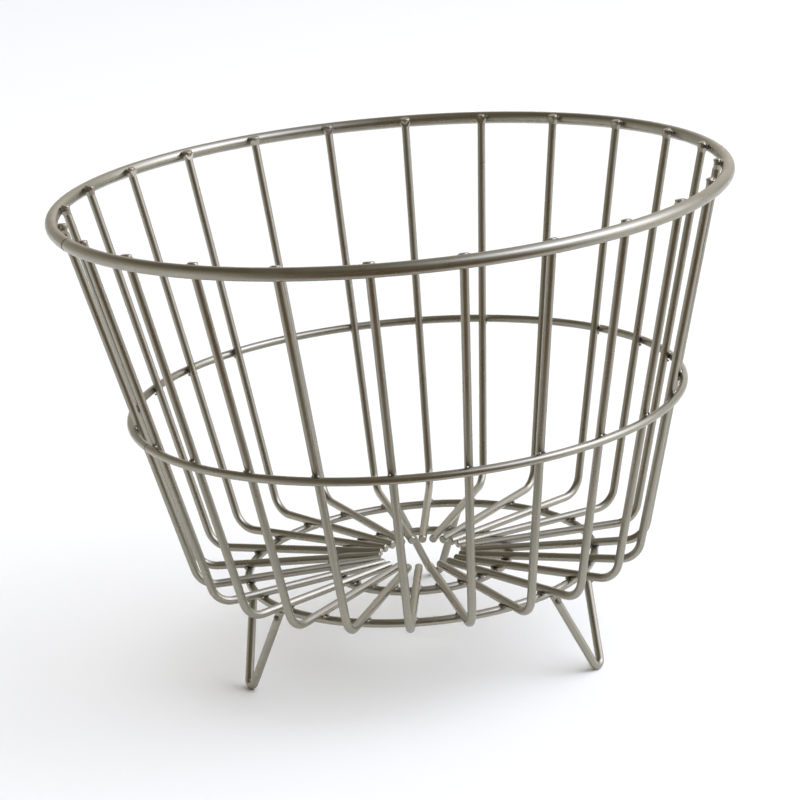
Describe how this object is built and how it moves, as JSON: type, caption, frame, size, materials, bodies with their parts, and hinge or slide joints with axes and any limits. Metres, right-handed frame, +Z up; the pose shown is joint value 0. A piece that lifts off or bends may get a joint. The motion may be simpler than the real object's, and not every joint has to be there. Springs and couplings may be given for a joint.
{
  "type": "wire fruit basket",
  "caption": "Round open wire basket: heavy rim, leaning ribs that turn in as the floor, a hoop round the outside, floor rings and hairpin legs.",
  "frame": {"origin": "on the basket's axis, at the level of the three points the legs stand on", "axes": "+Z up along the basket's axis, +Y towards the back leg, +X to the right as seen from the front"},
  "size_m": [0.2854, 0.2854, 0.2047],
  "materials": {
    "wire": "satin nickel-coloured coat over round steel wire"
  },
  "bodies": {
    "root": {"rim": "wire", "mid_hoop": "wire", "base_ring": "wire", "hub_ring": "wire", "leg_back": "wire", "leg_right": "wire", "leg_left": "wire", "rib_01": "wire", "rib_02": "wire", "rib_03": "wire", "rib_04": "wire", "rib_05": "wire", "rib_06": "wire", "rib_07": "wire", "rib_08": "wire", "rib_09": "wire", "rib_10": "wire", "rib_11": "wire", "rib_12": "wire", "rib_13": "wire", "rib_14": "wire", "rib_15": "wire", "rib_16": "wire", "rib_17": "wire", "rib_18": "wire", "rib_19": "wire", "rib_20": "wire", "rib_21": "wire", "rib_22": "wire", "rib_23": "wire", "rib_24": "wire"}
  },
  "joints": []
}
